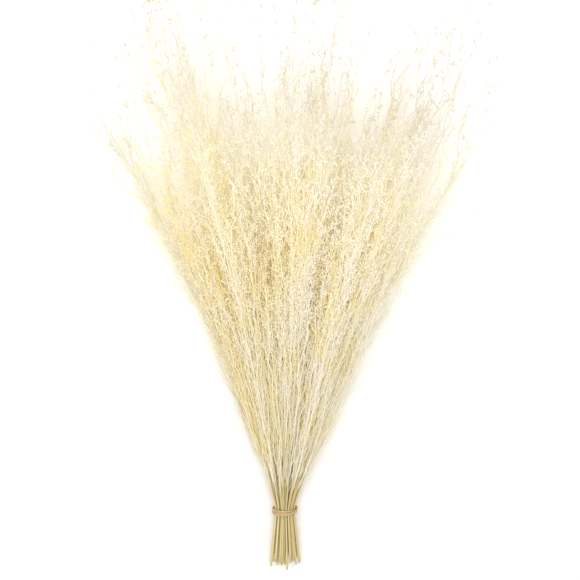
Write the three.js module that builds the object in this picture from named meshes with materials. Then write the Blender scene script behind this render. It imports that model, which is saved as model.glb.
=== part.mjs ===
// A tied bunch of dried, bleached statice, lying on the surface z = 0.
// It is 48 cut sprays and the rubber band that holds them. A spray is one grown piece: a bare stem that
// turns into a feathery plume of fine branchlets. The plume is modelled as the closed outer shape that its
// branchlets fill. +Y runs from the cut ends to the tips, +X across the bunch and +Z up from the surface.
import * as THREE from "three";

// Driving dimensions, in millimetres and radians.
const SPRAY_COUNT = 48;
const GOLDEN_ANGLE = Math.PI * (3 - Math.sqrt(5));

const STEM_RADIUS = 1.0; // at the cut end
const TIP_RADIUS = 0.45; // of the bare whip at a spray's tip
const BUNDLE_RADIUS = 10.4; // from the bundle's middle to the axis of its outermost stem, under the band

const BAND_GAP = 0.5; // between the band and the outermost stems
const BAND_THICKNESS = 1.5;
const BAND_WIDTH = 7.5; // three turns side by side
const BAND_SIDES = 28;

const REACH = 411; // from the band to the tip of a short spray in the middle, along Y
const REACH_SCATTER = 90; // between the longest and the shortest neighbours: most are short
const REACH_FALL = 20; // how much shorter the sprays at the two edges are
const REACH_SLANT = 14; // how much shorter than the middle the right edge is, and longer the left
const REACH_WAVE = 22; // how much the crown rises and falls from the middle to an edge
const WAVE_PERIOD = 0.56; // of the head's half width
const WAVE_PEAK = -0.56; // where one of the crown's peaks is, in the head's half width
const SPREAD = 0.318; // sideways travel of an edge spray per millimetre of Y, as it leaves the band
const FLARE = 0.48; // how much faster than that it travels at its tip
const LEAN = 0.03; // sideways travel of the whole head per millimetre of Y
const SWAY = 14; // between tips that lean left and right of their own line
const GATHER = 8; // how far a tip leans towards the nearest of the crown's peaks
const BOW = 12; // between stems that bow left and right of their own line
const SCATTER = 0.17; // of a spray's place in the head, as a share of the head's half width

const REST_HEIGHT = 12; // axis of a spray whose plume lies on the surface
const HEAD_RISE = 140; // from that axis to the axis of the topmost spray
const SAG = 0.3; // how much the rise of a stem flattens out towards its tip

const TAIL_LENGTH = 60; // from the band to the longest cut end
const TAIL_SCATTER = 14; // the stems are cut to about the same length
const TAIL_SPREAD = 0.12; // sideways travel of an outer stem per millimetre below the band

const PLUME_RADIUS = 17;
const PLUME_START = 0.16; // shares of the reach
const PLUME_FULL = 0.6;
const PLUME_THIN = 0.66;
const PLUME_END = 0.97;
const CELL_SHARE = 0.46; // of the distance to the nearest neighbour's axis that a plume may fill

const SIDES = 6; // corners of a spray's section
const STATIONS = 13; // rings from the band to the tip

// Which repeatable number a spray takes for each of its properties.
const DRAW = { across: 1, up: 2, tail: 4, sway: 5, bow: 8, reach: 309 };

// Colours of the bleached plant and of the band.
const TONES = ["#f1e6c4", "#efdfae", "#ece4cf"].map(
  (color) => new THREE.MeshStandardMaterial({ color, roughness: 0.85, metalness: 0 }),
);
const BAND_MATERIAL = new THREE.MeshStandardMaterial({ color: "#c9ab77", roughness: 0.6, metalness: 0 });

// A repeatable number from 0 to 1 for one property of one spray.
function vary(spray, property) {
  const wave = Math.sin((spray + 1) * 12.9898 + property * 78.233) * 43758.5453;
  return wave - Math.floor(wave);
}

// The line that a spray's stem follows. t runs from 0 at its cut end to 1 at its tip, evenly along Y.
// Under the band the stems are packed like the seeds of a sunflower. Above it each keeps its place in that
// pattern, which widens into the head: a fan in plan, and a low dome that is flat on the surface in section.
class SprayAxis extends THREE.Curve {
  constructor(spray) {
    super();
    const share = Math.sqrt((spray + 0.5) / SPRAY_COUNT);
    this.across = share * Math.cos(spray * GOLDEN_ANGLE);
    this.up = share * Math.sin(spray * GOLDEN_ANGLE);
    this.headAcross = this.across + SCATTER * (vary(spray, DRAW.across) - 0.5);
    const headUp = this.up + SCATTER * (vary(spray, DRAW.up) - 0.5);
    const domeEdge = Math.sqrt(Math.max(0, 1 - this.headAcross ** 2));
    this.headHeight = REST_HEIGHT + (HEAD_RISE * Math.max(0, headUp + domeEdge)) / 2;
    this.bandHeight = BUNDLE_HEIGHT + this.up * BUNDLE_RADIUS;
    const crown = (2 * Math.PI * (this.headAcross - WAVE_PEAK)) / WAVE_PERIOD;
    this.reach = REACH - REACH_SLANT * this.headAcross - REACH_FALL * this.headAcross ** 4;
    this.reach += REACH_WAVE * Math.cos(crown) + REACH_SCATTER * vary(spray, DRAW.reach) ** 2;
    this.tail = TAIL_LENGTH - TAIL_SCATTER * vary(spray, DRAW.tail);
    this.sway = SWAY * (vary(spray, DRAW.sway) - 0.5) - GATHER * Math.sin(crown);
    this.bow = BOW * (vary(spray, DRAW.bow) - 0.5);
  }

  along(t) {
    return -this.tail + t * (this.tail + this.reach);
  }

  share(y) {
    return (y + this.tail) / (this.tail + this.reach);
  }

  getPoint(t, target = new THREE.Vector3()) {
    const y = this.along(t);
    const below = Math.max(0, -y - BAND_WIDTH / 2);
    const above = Math.max(0, y - BAND_WIDTH / 2);
    const far = above / REACH;
    const x =
      this.across * (BUNDLE_RADIUS + TAIL_SPREAD * below) +
      (this.headAcross * SPREAD + LEAN) * above * (1 + FLARE * far) +
      this.sway * far ** 2 +
      this.bow * Math.sin(Math.PI * far) ** 2;
    const z =
      this.bandHeight +
      Math.max(0, this.up) * TAIL_SPREAD * below +
      (this.headHeight - this.bandHeight) * far * (1 + SAG - SAG * far);
    return target.set(x, y, z);
  }
}

const BAND_INNER_RADIUS = BUNDLE_RADIUS + STEM_RADIUS + BAND_GAP;
const BUNDLE_HEIGHT = BAND_INNER_RADIUS + BAND_THICKNESS; // of its middle: the band touches the surface
const AXES = Array.from({ length: SPRAY_COUNT }, (_, spray) => new SprayAxis(spray));

// Each axis as short straight pieces, for measuring how close its neighbours are.
const PIECES = 60;
const AXIS_LINES = AXES.map((axis) => {
  const points = axis.getPoints(PIECES);
  return points.slice(1).map((point, i) => new THREE.Line3(points[i], point));
});

function distanceToNeighbour(point, spray) {
  const nearest = new THREE.Vector3();
  let least = Infinity;
  AXIS_LINES.forEach((lines, other) => {
    if (other === spray) return;
    for (const line of lines) {
      line.closestPointToPoint(point, true, nearest);
      least = Math.min(least, nearest.distanceTo(point));
    }
  });
  return least;
}

// The radius of a spray's outer shape: its stem, and from PLUME_START on the plume around it. The plume fills
// its own share of the room between its neighbours, and none of it reaches below the surface.
function radiusAt(axis, spray, t) {
  const far = Math.max(0, axis.along(t)) / axis.reach;
  const stem = THREE.MathUtils.lerp(STEM_RADIUS, TIP_RADIUS, far);
  const full =
    PLUME_RADIUS *
    THREE.MathUtils.smoothstep(far, PLUME_START, PLUME_FULL) *
    (1 - THREE.MathUtils.smoothstep(far, PLUME_THIN, PLUME_END));
  const point = axis.getPoint(t);
  const room = CELL_SHARE * distanceToNeighbour(point, spray);
  return Math.max(stem, Math.min(full, room, point.z));
}

// A turned shape whose axis is then bent along a curve: profile points are (radius, t).
function bentLathe(profile, curve) {
  const geometry = new THREE.LatheGeometry(profile, SIDES);
  const position = geometry.getAttribute("position");
  const vertical = new THREE.Vector3(0, 0, 1);
  const vertex = new THREE.Vector3();
  for (let i = 0; i < position.count; i++) {
    vertex.fromBufferAttribute(position, i);
    const tangent = curve.getTangent(vertex.y);
    const side = tangent.clone().cross(vertical).normalize();
    const top = side.clone().cross(tangent);
    const bent = curve.getPoint(vertex.y).addScaledVector(side, vertex.x).addScaledVector(top, vertex.z);
    position.setXYZ(i, bent.x, bent.y, bent.z);
  }
  geometry.computeVertexNormals();
  return geometry;
}

function makeSpray(spray) {
  const axis = AXES[spray];
  const bandEdges = [-BAND_WIDTH / 2, BAND_WIDTH / 2].map((y) => axis.share(y));
  const stations = [0, bandEdges[0]];
  for (let i = 0; i < STATIONS; i++) stations.push(THREE.MathUtils.lerp(bandEdges[1], 1, i / STATIONS));
  const profile = [
    new THREE.Vector2(0, 0),
    ...stations.map((t) => new THREE.Vector2(radiusAt(axis, spray, t), t)),
    new THREE.Vector2(0, 1),
  ];
  const mesh = new THREE.Mesh(bentLathe(profile, axis), TONES[spray % TONES.length]);
  mesh.name = "spray_" + String(spray + 1).padStart(2, "0");
  return mesh;
}

// The rubber band: one closed ring around the bundle, with a rounded outer face.
function makeBand() {
  const half = BAND_WIDTH / 2;
  const outer = BAND_INNER_RADIUS + BAND_THICKNESS;
  const shoulder = BAND_THICKNESS / 2;
  const profile = [
    new THREE.Vector2(BAND_INNER_RADIUS, -half),
    new THREE.Vector2(outer - shoulder, -half),
    new THREE.Vector2(outer, -half + shoulder),
    new THREE.Vector2(outer, half - shoulder),
    new THREE.Vector2(outer - shoulder, half),
    new THREE.Vector2(BAND_INNER_RADIUS, half),
    new THREE.Vector2(BAND_INNER_RADIUS, -half),
  ];
  const band = new THREE.Mesh(new THREE.LatheGeometry(profile, BAND_SIDES), BAND_MATERIAL);
  band.name = "rubber_band";
  band.position.set(0, 0, BUNDLE_HEIGHT);
  return band;
}

const bunch = new THREE.Group();
for (let spray = 0; spray < SPRAY_COUNT; spray++) bunch.add(makeSpray(spray));
bunch.add(makeBand());

// The origin is on the surface, under the middle of the bunch's box.
const box = new THREE.Box3().setFromObject(bunch, true);
const middle = box.getCenter(new THREE.Vector3()).setZ(box.min.z);
for (const mesh of bunch.children) mesh.position.sub(middle);

export default bunch;
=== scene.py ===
# A tied bunch of dried, bleached statice, lying on its side on a pale surface.
# Each spray is one grown piece: a stem, the branches on it, the branchlets on those, and the florets.
# All lengths are in metres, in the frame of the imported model. Angles are in radians, where nothing else
# is said.
import math

import bpy
import numpy as np
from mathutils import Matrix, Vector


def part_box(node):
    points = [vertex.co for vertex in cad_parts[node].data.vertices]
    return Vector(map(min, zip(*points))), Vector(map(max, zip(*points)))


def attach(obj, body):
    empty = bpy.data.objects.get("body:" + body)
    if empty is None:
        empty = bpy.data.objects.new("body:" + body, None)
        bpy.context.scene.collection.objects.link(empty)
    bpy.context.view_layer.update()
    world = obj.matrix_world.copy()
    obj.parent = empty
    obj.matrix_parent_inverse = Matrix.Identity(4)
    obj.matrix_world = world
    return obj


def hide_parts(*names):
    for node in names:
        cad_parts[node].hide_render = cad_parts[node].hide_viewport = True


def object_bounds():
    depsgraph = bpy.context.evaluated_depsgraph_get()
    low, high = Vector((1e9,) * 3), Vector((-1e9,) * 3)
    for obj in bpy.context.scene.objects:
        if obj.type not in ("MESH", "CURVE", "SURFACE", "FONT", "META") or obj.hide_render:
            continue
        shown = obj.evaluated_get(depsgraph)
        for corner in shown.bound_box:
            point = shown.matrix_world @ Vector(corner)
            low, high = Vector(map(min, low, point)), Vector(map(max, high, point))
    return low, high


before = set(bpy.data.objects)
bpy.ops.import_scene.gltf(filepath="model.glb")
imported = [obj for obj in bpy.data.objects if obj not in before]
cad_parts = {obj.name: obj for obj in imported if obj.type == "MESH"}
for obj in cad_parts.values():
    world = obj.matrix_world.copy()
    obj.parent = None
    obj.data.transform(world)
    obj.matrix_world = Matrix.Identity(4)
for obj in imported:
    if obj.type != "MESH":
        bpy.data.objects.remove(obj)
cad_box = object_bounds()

MM = 0.001
DEGREE = math.pi / 180
GOLDEN_ANGLE = math.pi * (3 - math.sqrt(5))

# The layout of the bunch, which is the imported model's own.
SPRAY_COUNT = 48
BUNDLE_RADIUS = 10.4 * MM
BAND_WIDTH = 7.5 * MM
BAND_INNER_RADIUS = 11.9 * MM
BAND_THICKNESS = 1.5 * MM
REACH = 411 * MM
REACH_FALL = 20 * MM
REACH_SLANT = 14 * MM
REACH_WAVE = 22 * MM
WAVE_PERIOD = 0.56
WAVE_PEAK = -0.56
REACH_SCATTER = 90 * MM
SPREAD = 0.318
FLARE = 0.48
LEAN = 0.03
SWAY = 14 * MM
GATHER = 8 * MM
BOW = 12 * MM
SCATTER = 0.17
REST_HEIGHT = 12 * MM
HEAD_RISE = 140 * MM
SAG = 0.3
TAIL_LENGTH = 60 * MM
TAIL_SCATTER = 14 * MM
TAIL_SPREAD = 0.12

# Which repeatable number a spray takes for each of its properties.
DRAW_ACROSS = 1
DRAW_UP = 2
DRAW_TAIL = 4
DRAW_SWAY = 5
DRAW_TONE = 6
DRAW_TURN = 7
DRAW_BOW = 8
DRAW_REACH = 309

# The repeatable numbers, and the first seed of the sprays' random draws.
VARY_SPRAY = 12.9898
VARY_KIND = 78.233
VARY_LARGE = 43758.5453
FIRST_SEED = 1000

# A stem.
STEM_RADIUS = 1.05 * MM
STEM_TIP_RADIUS = 0.2 * MM
STEM_STATIONS = 44
STEM_SIDES = 7
STEM_POINT = 0.3 * MM  # from the last ring to the point that closes the tip

# How strongly all growth turns upwards, as the plant stood, and how much each step of a path kinks:
# little near the band and much in the crown.
UPTURN = 0.3
BRANCH_KINK = (0.08, 0.2)
TWIG_KINK = (0.16, 0.4)

# Below, a pair named VARY is the least and the most of an even spread, and a single VARY is the standard
# deviation of a normal one. Angles from the parent are in degrees, and turns round it in radians.

# The branches on a stem. Places are shares of the stem's reach.
BRANCH_COUNT = 38
BRANCH_FIRST = 0.04
BRANCH_LAST = 0.97
BRANCH_CROWDING = 1.25  # over 1, they stand closer together near the band
BRANCH_LENGTH = 200 * MM
BRANCH_LEAST = 12 * MM
BRANCH_FALL = 0.9  # power by which they grow shorter towards the tip
BRANCH_LENGTH_VARY = (0.7, 1.2)
BRANCH_RADIUS = 0.62 * MM
BRANCH_TAPER = 0.35
BRANCH_ANGLE = 6  # at the band
BRANCH_ANGLE_RISE = 8  # what the place adds to that
BRANCH_ANGLE_SPLAY = 18  # and what its cube adds, in the crown
BRANCH_ANGLE_VARY = (0.3, 1.8)
BRANCH_BEND_VARY = (-0.6, 0.6)  # the last angle, as a share of the first
BRANCH_TURN_VARY = 0.4
BRANCH_STEPS = 13
BRANCH_SIDES = 4

# The whips among them: long, thin, bent branches that stand out of the plume.
WHIP_COUNT = 5
WHIP_FIRST = 0.6
WHIP_LAST = 0.96
WHIP_LENGTH = 135 * MM
WHIP_RADIUS = 0.32 * MM
WHIP_SPACING = 13 * MM
WHIP_ANGLE = 32

# The branchlets on a branch. Height is the share of the spray's reach at which one starts.
TWIG_SPACING = 6.2 * MM
TWIG_LEAST = 4
TWIG_FIRST = 0.14
TWIG_LENGTH = 22 * MM
TWIG_LENGTH_LOW = 1.2
TWIG_LENGTH_FALL = 0.75
TWIG_LENGTH_VARY = (0.5, 1.3)
TWIG_RADIUS = 0.17 * MM
TWIG_RADIUS_LOW = 1.5
TWIG_RADIUS_FALL = 0.6
TWIG_TAPER = 0.5
TWIG_ANGLE_VARY = (10, 38)
TWIG_SPLAY_VARY = (20, 65)  # what the square of the height adds to the angle
TWIG_BEND_VARY = (-0.3, 0.7)
TWIG_BEND_HIGH = 0.5
TWIG_TURN_VARY = (0, 0.9)
TWIG_STEPS = 4
TWIG_SIDES = 3

# Towards the tips more and more branchlets are left out.
THINNING = 0.55
THIN_FROM = 0.66
THIN_TO = 0.9

# The florets on a branchlet. They are rare near the band.
FLORETS = 5
PETALS = 3
FLORET_LENGTH = 2.2 * MM
FLORET_RADIUS = 0.66 * MM
FLORET_CHANCE = 0.06
FLORETS_FROM = 0.2
FLORETS_FULL = 0.5
FLORET_SPOT_VARY = (0.35, 1.0)
FLORET_TURN_VARY = 0.8
FLORET_LEAN_VARY = (15, 65)
FLORET_SIZE_VARY = (0.6, 1.2)
FLORET_SIZE_LOW = 0.65
FLORET_SIZE_RISE = 0.45
OPEN_SHARE = 0.6
OPEN_MIDDLE = 0.75  # where a floret's middle point lies, as a share of its length
BUD_MIDDLE = 1.5

# Growth is the first surface value: 0 at a cut end, then stem, branch, branchlet and floret, up to 1. How tan
# and how shaded the growth is draws it back towards the tip colour: partly its own tan and partly painted
# shade.
STEM_GROWTH = 0.03
STEM_GROWTH_RISE = 0.31
BRANCH_BASE_GROWTH = 0.6
BRANCH_BASE_SHARE = 0.4
BRANCH_GROWTH = 0.7
BRANCH_TAN_AND_SHADE = 0.28
BRANCH_DRIFT = 0.07  # the rise that goes on all along, so that the surface map is nowhere folded flat
BRANCH_CREEP = 0.01
TWIG_GROWTH = 0.73
TWIG_TAN_AND_SHADE = 0.33
TWIG_DRIFT = 0.04
FLORET_BASE_GROWTH = 0.82
FLORET_RIM_GROWTH = 0.95
FLORET_MIDDLE_GROWTH = 0.99
FLORET_TAN_AND_SHADE = 0.52
FLORET_TAN_AND_SHADE_VARY = (0.6, 1.0)

# Where the colours lie on the growth value: the bare stem's own from STEM_GROWTH to the first of these, and
# the branch's from the second on. The tip colour is at the third; the tan and the painted shade draw the
# growth towards it.
STEM_COLOUR_TO = 0.12
PALE_FROM = 0.21
TIP_AT = 0.42

# Tone is the second: 0 for the plain colour and 1 for full straw.
SPRAY_TONE = 0.08
SPRAY_TONE_RANGE = 0.28
BRANCH_TONE_VARY = 0.04
TWIG_TONE_VARY = 0.025
FLORET_TONE_VARY = 0.035
TONE_LEAST = 0.02
BRANCH_TONE_MOST = 0.9
TWIG_TONE_MOST = 0.96
FLORET_TONE_MOST = 0.98
RING_TONE = 0.012
RING_TONE_START = 0.15

# The straw-coloured patches, partly the growth's own straw and partly painted shade, the deep yellow of
# shaded
# inner layers: their sizes, how far and over what lengths their edges wander, and how sharp they are.
PATCH_ACROSS = 43 * MM
PATCH_ALONG = 105 * MM
PATCH_UP = 60 * MM
PATCH_WANDER_Y = (1.7, 31 * MM)
PATCH_WANDER_Z = (1.1, 17 * MM)
PATCH_WANDER_X = (1.9, 23 * MM)
PATCH_SHARPNESS = 2.5
PATCH_FADE = 0.75  # how much of them is lost between these two heights
PATCH_FADE_FROM = 0.7
PATCH_FADE_TO = 1.0
# Straw that comes in evenly towards the band: partly the growth's own straw and partly painted shade.
LOW_STRAW_AND_SHADE = 0.5
LOW_STRAW_AND_SHADE_TO = 0.45

# Where the growth is drawn towards the tip colour, partly for its own tan and partly as painted shade on the
# strands
# that stand most in the light: each amount, and the two places between which it comes in.
EDGE_TAN_AND_SHADE = 0.45
EDGE_FROM = 0.75
EDGE_TO = 1.05
TIP_FROM = 0.9
TIP_TO = 1.05
WHIP_TAN_AND_SHADE = 0.95
WHIP_TAN_AND_SHADE_LEAST = 0.3
WHIP_TAN_AND_SHADE_FROM = 0.8
WHIP_TAN_AND_SHADE_TO = 0.95
# Low down the growth is darkened towards the tip colour: painted shade near the band.
LOW_SHADE = 0.2
LOW_SHADE_FROM = 0.78
LOW_SHADE_TO = 0.53

# The rubber band: one flat loop, wound three times round the bundle.
BAND_TURNS = 3
BAND_STATIONS = 260
BAND_SECTION_SIDES = 14
BAND_START = 0.65 * math.pi
LOOP_WIDTH = 1.95 * MM
LOOP_CROSSING = 0.12
LOOP_HUMP = 1.15  # how high it crosses over the other turns, in band thicknesses
LOOP_SINK = 0.3 * MM  # how far it presses in between the stems
LOOP_ROUNDNESS = 0.5  # 1 for an oval section, towards 0 for an oblong one

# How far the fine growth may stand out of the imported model's box, and how softly it is held there.
PROUD = 11 * MM
HOLD = 6 * MM
CLEARANCE = 1.2 * MM
LOWEST = 0.1 * MM

# The surfaces. Cells are counted to the metre, and a stretch draws them out along the bunch.
STRAW_FROM = 0.15  # of the tone value
STRAW_TO = 0.9
SPECK_CELLS = 700
SPECK_STRETCH = 2
SPECK_COLOUR = (0.975, 0.96, 0.92)
FIBRE_CELLS = 4000
FIBRE_STRETCH = 24
FIBRE_DEPTH = 0.15 * MM
FIBRE_STRENGTH = 0.35
FIBRES_TO = 0.3  # of the growth value: they are on the stems
FIBRES_GONE = 0.37
SPRAY_ROUGHNESS = (0.62, 0.82)
SPRAY_SPECULAR = 0.2
BLOTCH_CELLS = 260
BLOTCH_DARK = (0.50, 0.35, 0.17)
BLOTCH_LIGHT = (0.62, 0.46, 0.25)
GRAIN_CELLS = 3000
GRAIN_DEPTH = 0.1 * MM
GRAIN_STRENGTH = 0.3
BAND_ROUGHNESS = 0.55

# The studio.
TENT_LIGHT = 0.79
LAMP_POWER = 10.1
LAMP_SIZE = 0.9
LAMP_PLACE = (-0.05, 0.2, 1.35)
LAMP_TURN = (-0.07, -0.04, 0.0)
MOST_BOUNCES = 24
MOST_DIFFUSE_BOUNCES = 20
FLOOR_HALF = 3.0
FLOOR_COLOUR = (0.96, 0.952, 0.935, 1)
FLOOR_ROUGHNESS = 0.9
CAMERA_TILT = 9 * DEGREE
CAMERA_DISTANCE = 2.2
VIEW_WIDTH = 0.585
VIEW_ASIDE = 5.5 * MM  # of the picture's middle, from the middle of the band
VIEW_BEYOND = 238 * MM
VIEW_HEIGHT = 50 * MM

UV_NAME = "OFBake"
TINY = 1e-12  # keeps a vector without length from dividing by nothing
ALMOST_UP = (0.05, 0.0, 1.0)  # not quite upright, so that growth seldom runs along it


def vary(spray, kind):
    """A repeatable number from 0 to 1: the fraction of a sine wave times a large number."""
    wave = np.sin((spray + 1) * VARY_SPRAY + kind * VARY_KIND) * VARY_LARGE
    return wave - np.floor(wave)


def unit(vectors):
    """The same directions, at length 1."""
    return vectors / np.maximum(np.linalg.norm(vectors, axis=-1, keepdims=True), TINY)


def rise(value, start, end):
    """From 0 at the start to 1 at the end, in a straight line, and level outside them."""
    return np.clip((value - start) / (end - start), 0, 1)


class SprayAxis:
    """The line that one stem follows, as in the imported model."""

    def __init__(self, spray, band_centre):
        share = math.sqrt((spray + 0.5) / SPRAY_COUNT)
        self.origin = np.array([band_centre.x, band_centre.y, 0.0])
        bundle_height = BAND_INNER_RADIUS + BAND_THICKNESS
        self.across = share * math.cos(spray * GOLDEN_ANGLE)
        self.up = share * math.sin(spray * GOLDEN_ANGLE)
        self.head_across = self.across + SCATTER * (vary(spray, DRAW_ACROSS) - 0.5)
        head_up = self.up + SCATTER * (vary(spray, DRAW_UP) - 0.5)
        dome_edge = math.sqrt(max(0.0, 1 - self.head_across**2))
        self.head_height = REST_HEIGHT + HEAD_RISE * max(0.0, head_up + dome_edge) / 2
        self.band_height = bundle_height + self.up * BUNDLE_RADIUS
        crown = 2 * math.pi * (self.head_across - WAVE_PEAK) / WAVE_PERIOD
        self.reach = REACH - REACH_SLANT * self.head_across - REACH_FALL * self.head_across**4
        self.reach += REACH_WAVE * math.cos(crown)
        self.reach += REACH_SCATTER * vary(spray, DRAW_REACH) ** 2
        self.tail = TAIL_LENGTH - TAIL_SCATTER * vary(spray, DRAW_TAIL)
        self.sway = SWAY * (vary(spray, DRAW_SWAY) - 0.5) - GATHER * math.sin(crown)
        self.bow = BOW * (vary(spray, DRAW_BOW) - 0.5)

    def points(self, y):
        """Straight under the band, then out to its place in the head: sideways a little faster than y, with
        a bow to one side, and upwards along a parabola that flattens towards the tip."""
        below = np.maximum(0, -y - BAND_WIDTH / 2)
        above = np.maximum(0, y - BAND_WIDTH / 2)
        far = above / REACH
        x = self.across * (BUNDLE_RADIUS + TAIL_SPREAD * below)
        x = x + (self.head_across * SPREAD + LEAN) * above * (1 + FLARE * far) + self.sway * far**2
        x = x + self.bow * np.sin(np.pi * far) ** 2
        z = self.band_height + max(0.0, self.up) * TAIL_SPREAD * below
        z = z + (self.head_height - self.band_height) * far * (1 + SAG - SAG * far)
        return self.origin + np.stack([x, y, z], axis=-1)


def close_in(points, low, high, soft):
    """Bends each coordinate that comes near a limit: within `soft` of it, the distance left to the limit
    shrinks exponentially, so nothing passes the limit and nothing is cut off."""
    above_low = (points - low) / soft
    points = np.where(above_low < 1, low + soft * np.exp(np.minimum(above_low, 1) - 1), points)
    below_high = (high - points) / soft
    return np.where(below_high < 1, high - soft * np.exp(np.minimum(below_high, 1) - 1), points)


def square_to(tangent):
    """Two directions square to the tangent and to each other. The first is nearly level."""
    side = unit(np.cross(tangent, np.array(ALMOST_UP)))
    return side, np.cross(side, tangent)


def leaving(paths, parent, spot, turn):
    """How children leave their parents: the point at a share of the parent's path, the parent's direction
    there, and the direction square to that which lies at an angle `turn` round it."""
    last = paths.shape[1] - 1
    at = np.clip(spot, 0, 1) * last
    low = np.minimum(at.astype(int), last - 1)
    start = paths[parent, low]
    step = paths[parent, low + 1] - start
    forward = unit(step)
    side, top = square_to(forward)
    outward = np.cos(turn)[:, None] * side + np.sin(turn)[:, None] * top
    return start + step * (at - low)[:, None], forward, outward


def grow(leave, length, start_angle, end_angle, kinks):
    """Paths that leave a parent. The heading turns evenly from the start angle to the end angle, measured
    from the parent's direction. Each step also turns aside by its own kink, outwards and sideways, and more
    and more upwards as the plant stood, which is along Y. The points are the running sum of the steps."""
    base, forward, outward = leave
    steps = kinks.shape[1]
    share = (np.arange(steps) + 0.5) / steps
    angle = start_angle[:, None] + (end_angle - start_angle)[:, None] * share
    sideways = np.cross(forward, outward)
    heading = np.cos(angle)[..., None] * forward[:, None] + np.sin(angle)[..., None] * outward[:, None]
    heading += kinks[..., :1] * outward[:, None] + kinks[..., 1:] * sideways[:, None]
    heading += UPTURN * share[:, None] * np.array([0.0, 1.0, 0.0])
    travelled = np.cumsum(unit(heading), axis=1) * (length / steps)[:, None, None]
    return base[:, None] + np.concatenate([np.zeros_like(travelled[:, :1]), travelled], axis=1)


def straw_and_shade_field(points):
    """How straw-coloured the growth is at a place, from 0 to 1, partly its own straw and partly painted
    shade,
    the deep yellow of shaded inner layers: the product of waves across the bunch and longer ones along it,
    bent by one another, so that the patches are long and uneven."""
    x, y, z = points[:, 0], points[:, 1], points[:, 2]
    by_x, by_y, by_z = (
        far * np.sin(value / length)
        for value, (far, length) in ((x, PATCH_WANDER_X), (y, PATCH_WANDER_Y), (z, PATCH_WANDER_Z))
    )
    across = np.sin(2 * np.pi * x / PATCH_ACROSS + by_y + by_z)
    lengthwise = np.sin(2 * np.pi * y / PATCH_ALONG + by_x + 2 * np.pi * z / PATCH_UP)
    return np.clip(0.5 + 0.5 * across * lengthwise, 0, 1) ** PATCH_SHARPNESS


def tube_triangles(rings, sides):
    """The triangles of one closed tube: a fan, the walls between neighbouring rings, and a fan."""
    here = np.arange(sides)
    after = (here + 1) % sides
    level = 1 + sides * np.arange(rings - 1)[:, None]
    a, b = level + here, level + after
    walls = np.stack([a, a + sides, b, b, a + sides, b + sides], axis=-1).reshape(-1, 3)
    start = np.stack([np.zeros_like(here), 1 + here, 1 + after], axis=-1)
    last = 1 + sides * (rings - 1)
    end = np.stack([np.full(sides, last + sides), last + after, last + here], axis=-1)
    return np.concatenate([start, walls, end])


def copies(vertices, triangles, growth, tone):
    """Many shapes of one pattern as one: vertices [shape, vertex, 3], with each shape's triangles numbered
    on from the shape before. Growth and tone are the two surface values of each vertex."""
    count, size = vertices.shape[:2]
    numbered = triangles[None] + size * np.arange(count)[:, None, None]
    values = np.stack([np.broadcast_to(growth, (count, size)), tone], axis=-1)
    return vertices.reshape(-1, 3), numbered.reshape(-1, 3), values.reshape(-1, 2)


def ring_tone(tone, sides):
    """The tone round a ring, which differs a little from side to side."""
    turn = 2 * np.pi * np.arange(sides) / sides
    return tone[:, None] + RING_TONE * np.sin(turn + RING_TONE_START)


def tubes(paths, radii, growth, tone, sides):
    """Closed tubes. A ring of points lies round each inner point of a path, square to the path, at that
    point's radius. The first and last points of the path close the ends."""
    count, stations = paths.shape[:2]
    rings = stations - 2
    side, top = square_to(unit(np.gradient(paths, axis=1))[:, 1:-1])
    turn = 2 * np.pi * np.arange(sides) / sides
    spoke = np.cos(turn)[:, None] * side[:, :, None] + np.sin(turn)[:, None] * top[:, :, None]
    ring = paths[:, 1:-1, None] + radii[:, 1:-1, None, None] * spoke
    vertices = np.concatenate([paths[:, :1], ring.reshape(count, rings * sides, 3), paths[:, -1:]], axis=1)
    on_rings = np.repeat(growth[:, 1:-1], sides, axis=1)
    growths = np.concatenate([growth[:, :1], on_rings, growth[:, -1:]], axis=1)
    tones = np.concatenate([tone[:, None], np.tile(ring_tone(tone, sides), rings), tone[:, None]], axis=1)
    return copies(vertices, tube_triangles(rings, sides), growths, tones)


def funnels(base, direction, length, radius, openness, tan, tone):
    """Florets, as closed funnels: a point at the base, rim points round the axis, and a middle point that
    lies inside the rim of an open floret and beyond it on a closed bud."""
    side, top = square_to(direction)
    turn = 2 * np.pi * np.arange(PETALS) / PETALS
    spoke = np.cos(turn)[:, None] * side[:, None] + np.sin(turn)[:, None] * top[:, None]
    rim = base[:, None] + (direction * length[:, None])[:, None] + radius[:, None, None] * spoke
    middle = base + direction * (length * openness)[:, None]
    vertices = np.concatenate([base[:, None], rim, middle[:, None]], axis=1)
    growth = [FLORET_BASE_GROWTH] + [FLORET_RIM_GROWTH] * PETALS + [FLORET_MIDDLE_GROWTH]
    # tan: the tan and painted shade that draw each floret towards the tip colour.
    growths = np.array(growth) - FLORET_TAN_AND_SHADE * tan[:, None]
    tones = np.concatenate([tone[:, None], ring_tone(tone, PETALS), tone[:, None]], axis=1)
    return copies(vertices, tube_triangles(1, PETALS), growths, tones)


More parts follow.
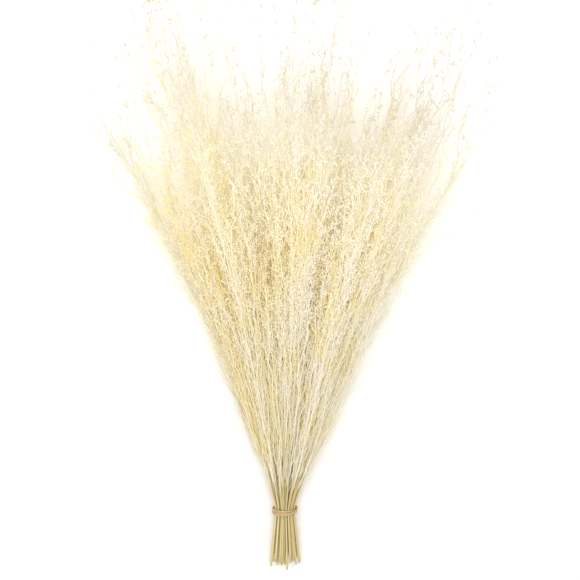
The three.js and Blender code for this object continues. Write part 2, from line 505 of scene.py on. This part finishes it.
def mesh_object(name, parts, material):
    """One mesh from several (vertices, triangles, surface values). Each later part's triangles are numbered
    on from the earlier parts' vertices. Surface values, where there are any, go into the mesh's own UV map.
    Only the first part is shaded smooth, because the rest is too fine to show its facets."""
    offsets = np.cumsum([0] + [len(part[0]) for part in parts[:-1]])
    vertices = np.concatenate([part[0] for part in parts])
    triangles = np.concatenate([part[1] + offset for part, offset in zip(parts, offsets)])
    mesh = bpy.data.meshes.new(name)
    mesh.vertices.add(len(vertices))
    mesh.vertices.foreach_set("co", vertices.astype(np.float32).ravel())
    mesh.loops.add(triangles.size)
    mesh.loops.foreach_set("vertex_index", triangles.astype(np.int32).ravel())
    mesh.polygons.add(len(triangles))
    mesh.polygons.foreach_set("loop_start", 3 * np.arange(len(triangles), dtype=np.int32))
    mesh.polygons.foreach_set("use_smooth", np.arange(len(triangles)) < len(parts[0][1]))
    mesh.update(calc_edges=True)
    if parts[0][2] is not None:
        values = np.concatenate([part[2] for part in parts])
        surface = mesh.uv_layers.new(name=UV_NAME)
        surface.uv.foreach_set("vector", values[triangles].astype(np.float32).ravel())
    mesh.materials.append(material)
    piece = bpy.data.objects.new(name, mesh)
    bpy.context.scene.collection.objects.link(piece)
    return piece


class Spray:
    """One spray: the stem, then three generations. Each child leaves its parent at its own share of the
    parent's length, turned round it by the golden angle, and bends back towards the parent's direction."""

    def __init__(self, spray, band_centre, limits):
        self.draw = np.random.default_rng(FIRST_SEED + spray)
        self.spray = spray
        self.axis = SprayAxis(spray, band_centre)
        self.limits = limits
        self.tone = SPRAY_TONE + SPRAY_TONE_RANGE * vary(spray, DRAW_TONE) ** 2

    def held(self, paths):
        """The same paths, kept softly inside the limits."""
        return close_in(paths, *self.limits, HOLD)

    def kinks(self, size, height):
        """Random kinks, [path, step, 2], whose size grows with the square of the height in the bunch."""
        scale = size[0] + size[1] * np.clip(height, 0, 1) ** 2
        return scale[..., None] * self.draw.normal(0, 1, (*height.shape, 2))

    def tan(self, y, whip):
        """How tan and shaded the growth is at a place along the bunch, from 0 to 1. It is darker at the edge
        of the bunch, at the tip of the spray, and on a whip, most of all where it stands out of the plume:
        partly the growth's own tan and partly painted shade on the strands that stand most in the light. Low
        down it is darker too, which is painted shade. What is left pale is the product of what each of these
        leaves."""
        edge = EDGE_TAN_AND_SHADE * rise(abs(self.axis.head_across), EDGE_FROM, EDGE_TO)
        height = (y - self.axis.origin[1]) / self.axis.reach
        tip = rise(height, TIP_FROM, TIP_TO)
        # Painted shade: the growth low down, near the band, darkened.
        low = LOW_SHADE * rise(height, LOW_SHADE_FROM, LOW_SHADE_TO)
        bare = WHIP_TAN_AND_SHADE * whip * np.maximum(WHIP_TAN_AND_SHADE_LEAST, rise(height, WHIP_TAN_AND_SHADE_FROM, WHIP_TAN_AND_SHADE_TO))
        return 1 - (1 - edge) * (1 - tip) * (1 - bare) * (1 - low)

    def stem(self):
        """One tube along the spray's own line, thinner and further grown towards the tip."""
        axis = self.axis
        y = np.linspace(-axis.tail, axis.reach, STEM_STATIONS)
        self.stem_paths = self.held(axis.points(y)[None])
        # The first point is used twice, so that the cut end is flat, and the last ring closes on a point.
        stations = [0, *range(STEM_STATIONS), -1]
        paths = self.stem_paths[:, stations]
        share = np.linspace(0, 1, STEM_STATIONS)[stations]
        paths[:, -1] += STEM_POINT * unit(paths[:, -1] - paths[:, -4])
        radii = STEM_RADIUS + (STEM_TIP_RADIUS - STEM_RADIUS) * share
        growth = STEM_GROWTH + STEM_GROWTH_RISE * share
        growth[0] = 0
        return tubes(paths, radii[None], growth[None], np.array([self.tone]), STEM_SIDES)

    def branches(self):
        """Tubes that leave the stem at even ranks, shifted within each, and splay more towards the tip. Then
        the whips, which leave it only high up."""
        draw, count = self.draw, BRANCH_COUNT + WHIP_COUNT
        whip = np.arange(count) >= BRANCH_COUNT
        rank = np.arange(count) - BRANCH_COUNT * whip
        share = (rank + draw.random(count)) / np.where(whip, WHIP_COUNT, BRANCH_COUNT)
        first, last = np.where(whip, WHIP_FIRST, BRANCH_FIRST), np.where(whip, WHIP_LAST, BRANCH_LAST)
        place = first + (last - first) * share**BRANCH_CROWDING
        turn = np.arange(count) * GOLDEN_ANGLE + 2 * np.pi * vary(self.spray, DRAW_TURN)
        turn = turn + draw.normal(0, BRANCH_TURN_VARY, count)
        spot = (place * self.axis.reach + self.axis.tail) / (self.axis.reach + self.axis.tail)
        leave = leaving(self.stem_paths, np.zeros(count, int), spot, turn)
        full = np.where(whip, WHIP_LENGTH, BRANCH_LENGTH * (1 - place) ** BRANCH_FALL + BRANCH_LEAST)
        self.branch_length = full * draw.uniform(*BRANCH_LENGTH_VARY, count)
        angle = BRANCH_ANGLE + BRANCH_ANGLE_RISE * place + BRANCH_ANGLE_SPLAY * place**3
        start = np.where(whip, WHIP_ANGLE, angle) * DEGREE * draw.uniform(*BRANCH_ANGLE_VARY, count)
        end = start * draw.uniform(*BRANCH_BEND_VARY, count)
        travelled = np.outer(self.branch_length, np.linspace(0, 1, BRANCH_STEPS))
        height = place[:, None] + travelled / self.axis.reach
        kinks = self.kinks(BRANCH_KINK, height)
        self.branch_paths = self.held(grow(leave, self.branch_length, start, end, kinks))
        tone = self.tone + draw.normal(0, BRANCH_TONE_VARY, count)
        self.branch_tone = np.clip(tone, TONE_LEAST, BRANCH_TONE_MOST)
        thick = np.where(whip, WHIP_RADIUS, BRANCH_RADIUS * np.sqrt(self.branch_length / BRANCH_LENGTH))
        along = np.linspace(0, 1, BRANCH_STEPS + 1)
        radii = thick[:, None] * np.linspace(1, BRANCH_TAPER, BRANCH_STEPS + 1)
        self.spacing = np.where(whip, WHIP_SPACING, TWIG_SPACING)
        self.branch_whip = whip
        # The growth is drawn towards the tip colour by its own tan and by painted shade.
        grown = BRANCH_GROWTH - BRANCH_TAN_AND_SHADE * self.tan(self.branch_paths[:, :, 1], whip[:, None])
        reached = (1 - BRANCH_DRIFT) * rise(along, 0, BRANCH_BASE_SHARE) + BRANCH_DRIFT * along
        growth = BRANCH_BASE_GROWTH + (grown - BRANCH_BASE_GROWTH) * reached + BRANCH_CREEP * along
        return tubes(self.branch_paths, radii, growth, self.branch_tone, BRANCH_SIDES)

    def branchlets(self):
        """Tubes that leave the branches at an even spacing, shifted within it. Higher up they are shorter and
        thinner, splay more, and more of them are left out. Straw comes in patches, which fade in the crown,
        and evenly low down; both are partly the growth's own straw and partly painted shade."""
        draw = self.draw
        number = np.maximum(TWIG_LEAST, np.round(self.branch_length / self.spacing)).astype(int)
        parent = np.repeat(np.arange(len(number)), number)
        rank = np.arange(len(parent)) - np.repeat(np.cumsum(number) - number, number)
        spot = TWIG_FIRST + (1 - TWIG_FIRST) * (rank + draw.random(len(parent))) / number[parent]
        turn = rank * GOLDEN_ANGLE + draw.uniform(*TWIG_TURN_VARY, len(parent)) + parent
        leave = leaving(self.branch_paths, parent, spot, turn)
        height = np.clip((leave[0][:, 1] - self.axis.origin[1]) / self.axis.reach, 0, 1)
        keep = draw.random(len(parent)) > THINNING * rise(height, THIN_FROM, THIN_TO)
        parent, self.height = parent[keep], height[keep]
        leave = tuple(part[keep] for part in leave)
        total = len(parent)
        length = TWIG_LENGTH * (TWIG_LENGTH_LOW - TWIG_LENGTH_FALL * self.height)
        length = length * draw.uniform(*TWIG_LENGTH_VARY, total)
        angle = draw.uniform(*TWIG_ANGLE_VARY, total)
        start = (angle + self.height**2 * draw.uniform(*TWIG_SPLAY_VARY, total)) * DEGREE
        end = start * (draw.uniform(*TWIG_BEND_VARY, total) + TWIG_BEND_HIGH * self.height)
        kinks = self.kinks(TWIG_KINK, np.repeat(self.height[:, None], TWIG_STEPS, axis=1))
        self.twig_paths = self.held(grow(leave, length, start, end, kinks))
        kept_patch = 1 - PATCH_FADE * rise(self.height, PATCH_FADE_FROM, PATCH_FADE_TO)
        # This straw is partly painted shade: the deep yellow of shaded patches, and of the growth near the
        # band.
        straw = kept_patch * straw_and_shade_field(leave[0]) + LOW_STRAW_AND_SHADE * rise(self.height, LOW_STRAW_AND_SHADE_TO, 0)
        tone = self.branch_tone[parent] + straw + draw.normal(0, TWIG_TONE_VARY, total)
        self.twig_tone = np.clip(tone, TONE_LEAST, TWIG_TONE_MOST)
        thick = TWIG_RADIUS * (TWIG_RADIUS_LOW - TWIG_RADIUS_FALL * self.height[:, None])
        radii = thick * np.linspace(1, TWIG_TAPER, TWIG_STEPS + 1)
        # Each branchlet's tan and painted shade, which its florets share.
        self.twig_tan_and_shade = self.tan(leave[0][:, 1], self.branch_whip[parent])
        along = np.linspace(0, 1, TWIG_STEPS + 1)
        growth = TWIG_GROWTH - TWIG_TAN_AND_SHADE * self.twig_tan_and_shade[:, None] + TWIG_DRIFT * along
        return tubes(self.twig_paths, radii, growth, self.twig_tone, TWIG_SIDES)

    def florets(self):
        """Funnels along the branchlets, on alternate sides, each at its own lean. They are rare near the band
        and larger towards the tips. Some are open and the rest are buds."""
        draw = self.draw
        chance = np.maximum(FLORET_CHANCE, rise(self.height[:, None], FLORETS_FROM, FLORETS_FULL))
        parent, rank = np.nonzero(draw.random((len(chance), FLORETS)) < chance)
        total = len(parent)
        spot = (rank + draw.uniform(*FLORET_SPOT_VARY, total)) / FLORETS
        turn = rank * np.pi + draw.normal(0, FLORET_TURN_VARY, total) + parent
        base, forward, outward = leaving(self.twig_paths, parent, spot, turn)
        lean = draw.uniform(*FLORET_LEAN_VARY, total)[:, None] * DEGREE
        direction = np.cos(lean) * forward + np.sin(lean) * outward
        size = draw.uniform(*FLORET_SIZE_VARY, total)
        size = size * (FLORET_SIZE_LOW + FLORET_SIZE_RISE * self.height[parent])
        openness = np.where(draw.random(total) < OPEN_SHARE, OPEN_MIDDLE, BUD_MIDDLE)
        tone = self.twig_tone[parent] + draw.normal(0, FLORET_TONE_VARY, total)
        tone = np.clip(tone, TONE_LEAST, FLORET_TONE_MOST)
        # Each floret takes part of its branchlet's tan and painted shade.
        tan = self.twig_tan_and_shade[parent] * draw.uniform(*FLORET_TAN_AND_SHADE_VARY, total)
        return funnels(base, direction, FLORET_LENGTH * size, FLORET_RADIUS * size, openness, tan, tone)

    def build(self, material):
        """The four generations as one mesh, with every vertex held above the surface and near the box."""
        parts = [self.stem(), self.branches(), self.branchlets(), self.florets()]
        low, high = self.limits
        floor = np.array([low[0] - CLEARANCE, low[1] - CLEARANCE, LOWEST])
        parts = [(close_in(part[0], floor, high + CLEARANCE, CLEARANCE), *part[1:]) for part in parts]
        return mesh_object("statice_spray_%02d" % (self.spray + 1), parts, material)


def make_band(centre, material):
    """One flat loop wound round the bundle. Its middle line circles the bundle while it drifts from one edge
    of the band to the other, and crosses back over the other turns in a hump on the way home. The section
    is a rounded oblong, carried along that line."""
    stations, sides = BAND_STATIONS, BAND_SECTION_SIDES
    share = np.arange(stations) / stations
    turn = 2 * np.pi * BAND_TURNS * share + BAND_START
    out = rise(share, 0, 1 - LOOP_CROSSING)
    back = rise(share, 1 - LOOP_CROSSING, 1)
    eased_back = back * back * (3 - 2 * back)
    drift = (BAND_WIDTH - LOOP_WIDTH) * (out - eased_back - 0.5)
    hump = LOOP_HUMP * BAND_THICKNESS * np.sin(np.pi * back) ** 2
    radius = BAND_INNER_RADIUS - LOOP_SINK + BAND_THICKNESS / 2 + hump
    radial = np.stack([np.cos(turn), np.zeros(stations), np.sin(turn)], axis=-1)
    middle = np.array(centre) + radius[:, None] * radial + drift[:, None] * np.array([0.0, 1.0, 0.0])
    along_loop = unit(np.roll(middle, -1, axis=0) - np.roll(middle, 1, axis=0))
    across = unit(np.cross(along_loop, radial))
    angle = 2 * np.pi * (np.arange(sides) + 0.5) / sides
    wide = np.sign(np.cos(angle)) * np.abs(np.cos(angle)) ** LOOP_ROUNDNESS * LOOP_WIDTH / 2
    thick = np.sign(np.sin(angle)) * np.abs(np.sin(angle)) ** LOOP_ROUNDNESS * BAND_THICKNESS / 2
    ring = middle[:, None] + wide[:, None] * across[:, None] + thick[:, None] * radial[:, None]
    i, j = np.meshgrid(np.arange(stations), np.arange(sides), indexing="ij")
    i_next, j_next = (i + 1) % stations, (j + 1) % sides
    a, b, c, d = i * sides + j, i_next * sides + j, i_next * sides + j_next, i * sides + j_next
    triangles = np.stack([a, d, b, b, d, c], axis=-1).reshape(-1, 3)
    return mesh_object("wound_rubber_band", [(ring.reshape(-1, 3), triangles, None)], material)


def new_material(name):
    """A material with nodes, its node tree and its shader."""
    material = bpy.data.materials.new(name)
    material.use_nodes = True
    tree = material.node_tree
    return material, tree, tree.nodes["Principled BSDF"]


def mixed(tree, blend, factor, first, second):
    """A colour mix node. Each input is a socket or a plain value."""
    node = tree.nodes.new("ShaderNodeMix")
    node.data_type = "RGBA"
    node.blend_type = blend
    for socket, value in ((node.inputs[0], factor), (node.inputs[6], first), (node.inputs[7], second)):
        if isinstance(value, bpy.types.NodeSocket):
            tree.links.new(value, socket)
        else:
            socket.default_value = value
    return node.outputs[2]


def ramp(tree, factor, stops):
    """A colour ramp node, with stops of (position, colour)."""
    node = tree.nodes.new("ShaderNodeValToRGB")
    elements = node.color_ramp.elements
    while len(elements) < len(stops):
        elements.new(0.5)
    for element, (position, colour) in zip(elements, stops):
        element.position = position
        element.color = (*colour, 1)
    tree.links.new(factor, node.inputs[0])
    return node.outputs[0]


def grey(value):
    """A colour with all three parts at one value."""
    return (value, value, value)


def noise(tree, scale, stretch, detail):
    """Noise on object coordinates, `scale` cells to the metre, drawn out along Y by `stretch`."""
    place = tree.nodes.new("ShaderNodeTexCoord").outputs["Object"]
    mapping = tree.nodes.new("ShaderNodeMapping")
    mapping.inputs["Scale"].default_value = (1, 1 / stretch, 1)
    tree.links.new(place, mapping.inputs["Vector"])
    node = tree.nodes.new("ShaderNodeTexNoise")
    node.inputs["Scale"].default_value = scale
    node.inputs["Detail"].default_value = detail
    tree.links.new(mapping.outputs[0], node.inputs["Vector"])
    return node.outputs["Fac"]


def bump(tree, shader, height, strength, distance):
    """Fine relief from a height socket. The strength is a socket or a plain value."""
    node = tree.nodes.new("ShaderNodeBump")
    if isinstance(strength, bpy.types.NodeSocket):
        tree.links.new(strength, node.inputs["Strength"])
    else:
        node.inputs["Strength"].default_value = strength
    node.inputs["Distance"].default_value = distance
    tree.links.new(height, node.inputs["Height"])
    tree.links.new(node.outputs[0], shader.inputs["Normal"])


def spray_material(name, stem, tip, branch, floret, straw):
    """The colour runs from the pale pith of the cut end to stem, branch and floret with the growth value,
    which the tan and the painted shade draw back towards the tip colour, turns to straw with the tone value,
    whose patches are partly painted shade, and has specks a millimetre across. Fine fibres run lengthwise."""
    material, tree, shader = new_material(name)
    surface = tree.nodes.new("ShaderNodeUVMap")
    surface.uv_map = UV_NAME
    split = tree.nodes.new("ShaderNodeSeparateXYZ")
    tree.links.new(surface.outputs[0], split.inputs[0])
    growth, tone = split.outputs[0], split.outputs[1]
    on_stem = [(0.0, branch), (STEM_GROWTH, stem), (STEM_COLOUR_TO, stem), (PALE_FROM, branch)]
    on_growth = [(TIP_AT, tip), (BRANCH_GROWTH, branch), (FLORET_RIM_GROWTH, floret)]
    colour = ramp(tree, growth, on_stem + on_growth)
    depth = ramp(tree, tone, [(STRAW_FROM, grey(0)), (STRAW_TO, grey(1))])
    colour = mixed(tree, "MIX", depth, colour, (*straw, 1))
    speck_noise = noise(tree, SPECK_CELLS, SPECK_STRETCH, detail=2)
    specks = ramp(tree, speck_noise, [(0.3, SPECK_COLOUR), (0.5, grey(1))])
    colour = mixed(tree, "MULTIPLY", 1.0, colour, specks)
    tree.links.new(colour, shader.inputs["Base Color"])
    fibres = noise(tree, FIBRE_CELLS, FIBRE_STRETCH, detail=1)
    on_stems = ramp(tree, growth, [(FIBRES_TO, grey(FIBRE_STRENGTH)), (FIBRES_GONE, grey(0))])
    bump(tree, shader, fibres, on_stems, FIBRE_DEPTH)
    smooth, rough = SPRAY_ROUGHNESS
    roughness = ramp(tree, fibres, [(0.3, grey(smooth)), (0.7, grey(rough))])
    tree.links.new(roughness, shader.inputs["Roughness"])
    shader.inputs["Specular IOR Level"].default_value = SPRAY_SPECULAR
    return material


def band_material():
    """Tan rubber, a little darker in blotches, with the fine grain of a cut edge."""
    material, tree, shader = new_material("tan_rubber")
    blotch_noise = noise(tree, BLOTCH_CELLS, 1, detail=3)
    blotches = ramp(tree, blotch_noise, [(0.35, BLOTCH_DARK), (0.65, BLOTCH_LIGHT)])
    tree.links.new(blotches, shader.inputs["Base Color"])
    bump(tree, shader, noise(tree, GRAIN_CELLS, 1, detail=2), GRAIN_STRENGTH, GRAIN_DEPTH)
    shader.inputs["Roughness"].default_value = BAND_ROUGHNESS
    return material


def make_floor():
    """A plain pale square under the bunch."""
    mesh = bpy.data.meshes.new("floor")
    half = FLOOR_HALF
    corners = [(-half, -half, 0), (half, -half, 0), (half, half, 0), (-half, half, 0)]
    mesh.from_pydata(corners, [], [(0, 1, 2, 3)])
    floor = bpy.data.objects.new("floor", mesh)
    bpy.context.scene.collection.objects.link(floor)
    material, _, shader = new_material("pale_floor")
    shader.inputs["Base Color"].default_value = FLOOR_COLOUR
    shader.inputs["Roughness"].default_value = FLOOR_ROUGHNESS
    mesh.materials.append(material)


def make_light():
    """Light from all round, as in a white tent, and one large soft lamp above the bunch."""
    scene = bpy.context.scene
    world = bpy.data.worlds.new("studio")
    scene.world = world
    world.use_nodes = True
    background = world.node_tree.nodes["Background"]
    background.inputs["Color"].default_value = (1, 1, 1, 1)
    background.inputs["Strength"].default_value = TENT_LIGHT
    light = bpy.data.lights.new("softbox", "AREA")
    light.shape = "RECTANGLE"
    light.size = LAMP_SIZE
    light.size_y = LAMP_SIZE
    light.energy = LAMP_POWER
    lamp = bpy.data.objects.new("softbox", light)
    lamp.location = LAMP_PLACE
    lamp.rotation_euler = LAMP_TURN
    scene.collection.objects.link(lamp)
    scene.view_settings.view_transform = "Standard"
    # Pale growth hands light on from branchlet to branchlet many times.
    scene.cycles.max_bounces = MOST_BOUNCES
    scene.cycles.diffuse_bounces = MOST_DIFFUSE_BOUNCES


def make_camera(band_centre):
    """Looks down on the bunch, from a little beyond its tips, with the tips at the top of the picture."""
    centre = np.array(band_centre) * [1, 1, 0]
    target = centre + [VIEW_ASIDE, VIEW_BEYOND, VIEW_HEIGHT]
    data = bpy.data.cameras.new("camera")
    data.lens = data.sensor_width * CAMERA_DISTANCE / VIEW_WIDTH
    camera = bpy.data.objects.new("camera", data)
    back = np.array([0, math.sin(CAMERA_TILT), math.cos(CAMERA_TILT)])
    camera.location = target + CAMERA_DISTANCE * back
    camera.rotation_euler = (-CAMERA_TILT, 0, 0)
    bpy.context.scene.collection.objects.link(camera)
    bpy.context.scene.camera = camera


def place(piece, node, slot):
    """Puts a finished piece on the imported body, in the stead of the node that it shows."""
    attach(piece, "root")
    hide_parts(node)


# For each kind of spray: its slot, and its material's name and colours.
# The tip colour is the one that the tan and the painted shade draw the growth towards; the straw colour is
# that of the straw patches, which are partly painted shade.
FINISHES = [
    {
        "slot": "cream_spray",
        "name": "cream_statice",
        "stem": (0.66, 0.55, 0.28),
        "tip": (0.64, 0.56, 0.43),
        "branch": (0.975, 0.948, 0.85),
        "floret": (0.98, 0.96, 0.89),
        "straw": (0.94, 0.845, 0.44),
    },
    {
        "slot": "straw_spray",
        "name": "straw_statice",
        "stem": (0.64, 0.52, 0.24),
        "tip": (0.62, 0.53, 0.38),
        "branch": (0.970, 0.935, 0.81),
        "floret": (0.975, 0.95, 0.86),
        "straw": (0.935, 0.825, 0.38),
    },
    {
        "slot": "ivory_spray",
        "name": "ivory_statice",
        "stem": (0.68, 0.59, 0.34),
        "tip": (0.66, 0.59, 0.47),
        "branch": (0.977, 0.957, 0.89),
        "floret": (0.98, 0.967, 0.92),
        "straw": (0.95, 0.87, 0.54),
    },
]

band_low, band_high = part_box("rubber_band")
band_centre = (band_low + band_high) / 2
lowest, highest = (np.array(corner) for corner in cad_box)
limits = (np.array([lowest[0] - PROUD, lowest[1] - PROUD, CLEARANCE]), highest + PROUD)
slots = [finish.pop("slot") for finish in FINISHES]
materials = [spray_material(**finish) for finish in FINISHES]
for spray in range(SPRAY_COUNT):
    kind = spray % len(FINISHES)
    piece = Spray(spray, band_centre, limits).build(materials[kind])
    place(piece, "spray_%02d" % (spray + 1), slots[kind])
place(make_band(band_centre, band_material()), "rubber_band", "rubber_band")
make_floor()
make_light()
make_camera(band_centre)
